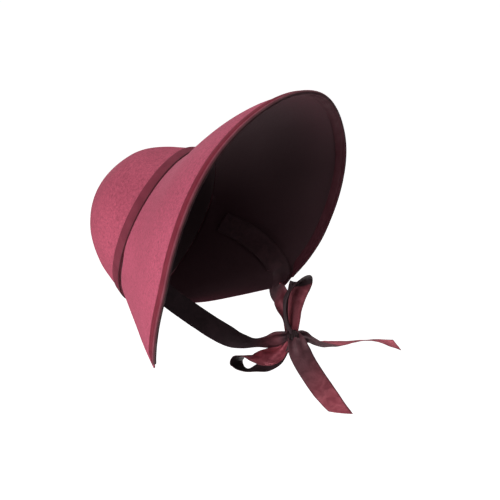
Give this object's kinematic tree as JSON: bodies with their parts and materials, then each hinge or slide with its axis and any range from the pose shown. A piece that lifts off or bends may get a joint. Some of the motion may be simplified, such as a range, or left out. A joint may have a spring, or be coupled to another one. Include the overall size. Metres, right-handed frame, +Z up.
{
  "type": "wide-brim hat",
  "caption": "Felt bonnet-shaped hat with a bowl crown, dark hat band, bound scoop brim and satin ribbon ties knotted in a bow.",
  "frame": {"origin": "middle of the head opening, where the crown meets the brim and the head sits", "axes": "+Z up on a standing wearer, -Y the way the wearer faces, -X the wearer's right"},
  "size_m": [0.3562, 0.2997, 0.4101],
  "materials": {
    "burgundy_felt": "wool felt",
    "dark_burgundy_trim": "ribbed ribbon",
    "burgundy_satin": "satin ribbon"
  },
  "bodies": {
    "root": {"crown": "burgundy_felt", "hat_band": "dark_burgundy_trim", "brim": "burgundy_felt", "rim_binding": "dark_burgundy_trim", "right_tie": "burgundy_satin", "left_tie": "burgundy_satin", "bow_knot": "burgundy_satin", "upper_loop": "burgundy_satin", "lower_loop": "burgundy_satin", "lower_tail": "burgundy_satin", "side_tail": "burgundy_satin"}
  },
  "joints": []
}
